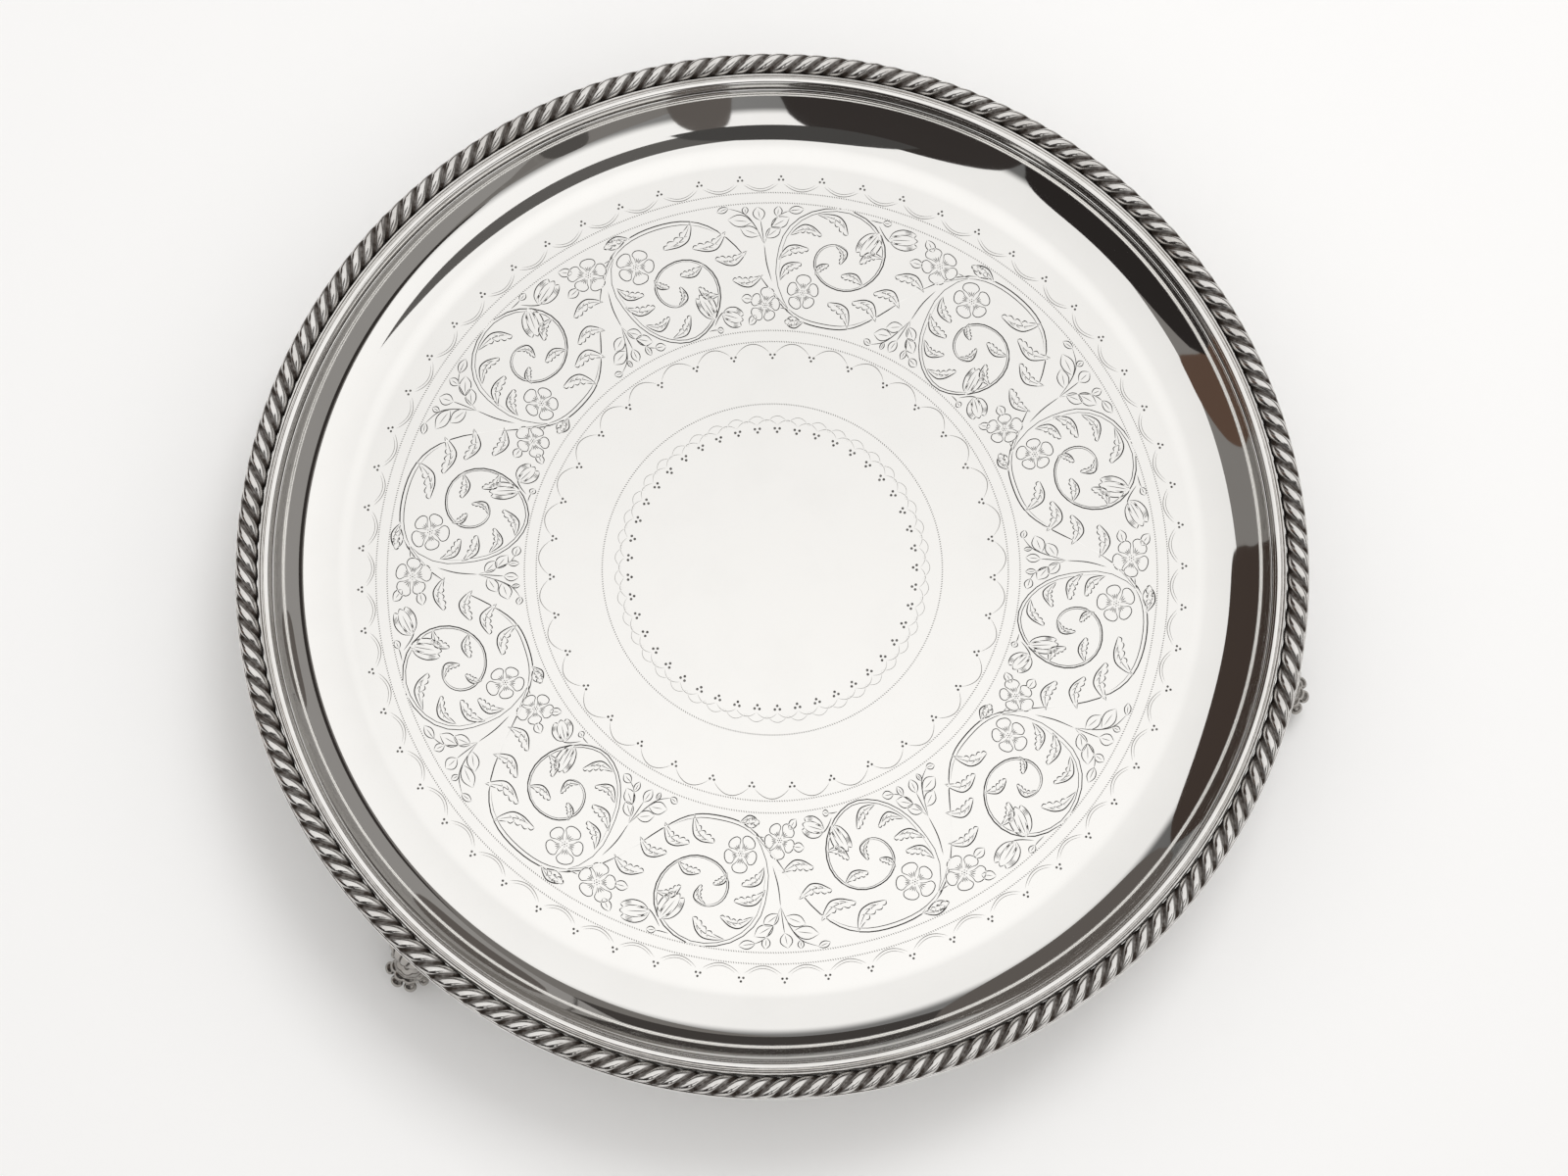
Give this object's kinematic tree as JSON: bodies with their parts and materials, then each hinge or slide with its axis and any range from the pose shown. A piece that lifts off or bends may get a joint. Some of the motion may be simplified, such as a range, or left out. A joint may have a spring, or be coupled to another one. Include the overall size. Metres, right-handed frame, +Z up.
{
  "type": "footed round salver",
  "caption": "Round footed salver: flat well, curved wall, reeded moulding and gadrooned rope border, standing on claw-and-ball feet.",
  "frame": {"origin": "on the table, under the centre of the tray", "axes": "+Z up, square to the well; -Y towards the viewer; the feet are at 107.5, 227.5 and 347.5 degrees from +X"},
  "size_m": [0.309, 0.3054, 0.0425],
  "materials": {
    "sheet_silver": "polished, engraved on the well",
    "drawn_silver": "polished",
    "cast_border_silver": "polished crests, tarnished recesses",
    "cast_foot_silver": "satin, tarnished recesses",
    "ball_silver": "polished"
  },
  "bodies": {
    "root": {"tray_body": "sheet_silver", "rim_moulding": "drawn_silver", "edge_wire": "drawn_silver", "rope_border_1": "cast_border_silver", "rope_border_2": "cast_border_silver", "rope_border_3": "cast_border_silver", "rope_border_4": "cast_border_silver", "rope_border_5": "cast_border_silver", "rope_border_6": "cast_border_silver", "foot_a_plate": "cast_foot_silver", "foot_a_claw": "cast_foot_silver", "foot_a_ball": "ball_silver", "foot_b_plate": "cast_foot_silver", "foot_b_claw": "cast_foot_silver", "foot_b_ball": "ball_silver", "foot_c_plate": "cast_foot_silver", "foot_c_claw": "cast_foot_silver", "foot_c_ball": "ball_silver"}
  },
  "joints": []
}
